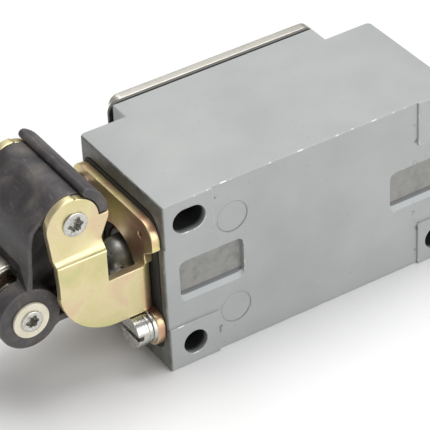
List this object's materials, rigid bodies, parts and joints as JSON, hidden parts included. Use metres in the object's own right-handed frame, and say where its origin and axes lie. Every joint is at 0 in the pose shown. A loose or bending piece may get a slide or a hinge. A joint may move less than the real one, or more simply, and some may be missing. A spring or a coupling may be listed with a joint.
{
  "type": "limit switch",
  "caption": "Roller lever limit switch: a block-shaped metal housing with a plunger head, a sheet bracket and a plastic lever whose steel roller is pushed sideways.",
  "frame": {"origin": "centre of the four mounting holes, on the mounting face", "axes": "+X along the housing from the lever head to the cable entry, +Y from the mounting face to the cover, +Z across the width"},
  "size_m": [0.1051, 0.0399, 0.047],
  "materials": {
    "painted_alloy": "grey satin paint on die-cast zinc alloy",
    "cover_steel": "satin sheet",
    "black_rubber": "matt",
    "yellow_zinc": "yellow passivated zinc",
    "bright_steel": "nickel plated",
    "roller_steel": "turned",
    "black_plastic": "glass-filled, matt",
    "plunger_steel": "worn and greasy",
    "bronze": "sintered",
    "cream_plastic": "matt",
    "block_plastic": "moulded",
    "contact_brass": "stamped",
    "spring_steel": "drawn wire"
  },
  "bodies": {
    "root": {"housing": "painted_alloy", "cover": "cover_steel", "cover_gasket": "black_rubber", "cover_screws": "bright_steel", "head_gasket": "black_rubber", "bracket": "yellow_zinc", "bracket_screws": "bright_steel", "spring_washers": "bright_steel", "flat_washers": "bright_steel", "pivot_pin": "bright_steel", "pivot_clip": "spring_steel", "plunger_guide": "block_plastic", "plunger_seal": "black_rubber", "plunger_spring": "spring_steel", "return_spring": "spring_steel", "contact_block_base": "block_plastic", "contact_block_cover": "cream_plastic", "closed_contacts": "contact_brass", "open_contacts": "contact_brass", "terminal_clamps": "bright_steel", "terminal_screws": "bright_steel", "block_screws": "bright_steel", "earth_clamp": "bright_steel", "earth_screw": "contact_brass"},
    "lever": {"lever": "black_plastic", "pivot_bush": "bronze", "roller_pin": "bright_steel", "roller_pin_washers": "cream_plastic"},
    "roller": {"roller": "roller_steel", "roller_bush": "bronze"},
    "plunger": {"plunger": "plunger_steel"},
    "carrier": {"push_rod": "cream_plastic", "contact_carrier": "cream_plastic", "contact_bridge": "contact_brass", "contact_spring": "spring_steel"}
  },
  "joints": [
    {"name": "lever_pivot", "type": "hinge", "parent": "root", "child": "lever", "pos_m": [-0.0519, 0.0177, 0.02025], "axis": [0, -1, 0], "range_deg": [0, 14], "stiffness_Nm_per_rad": 0.4, "springref_deg": -17.19},
    {"name": "roller_spin", "type": "hinge", "parent": "lever", "child": "roller", "pos_m": [-0.0622, 0.0177, 0.0009], "axis": [0, -1, 0], "continuous": true},
    {"name": "plunger_slide", "type": "slide", "parent": "root", "child": "plunger", "axis": [1, 0, 0], "range_m": [0, 0.005], "deforming": ["plunger_spring"]},
    {"name": "carrier_slide", "type": "slide", "parent": "root", "child": "carrier", "axis": [1, 0, 0], "range_m": [0, 0.005], "deforming": ["return_spring"]}
  ],
  "couplings": [
    {"joint": "plunger_slide", "follows": "lever_pivot", "m_per_rad": 0.020332},
    {"joint": "carrier_slide", "follows": "lever_pivot", "m_per_rad": 0.020332}
  ]
}
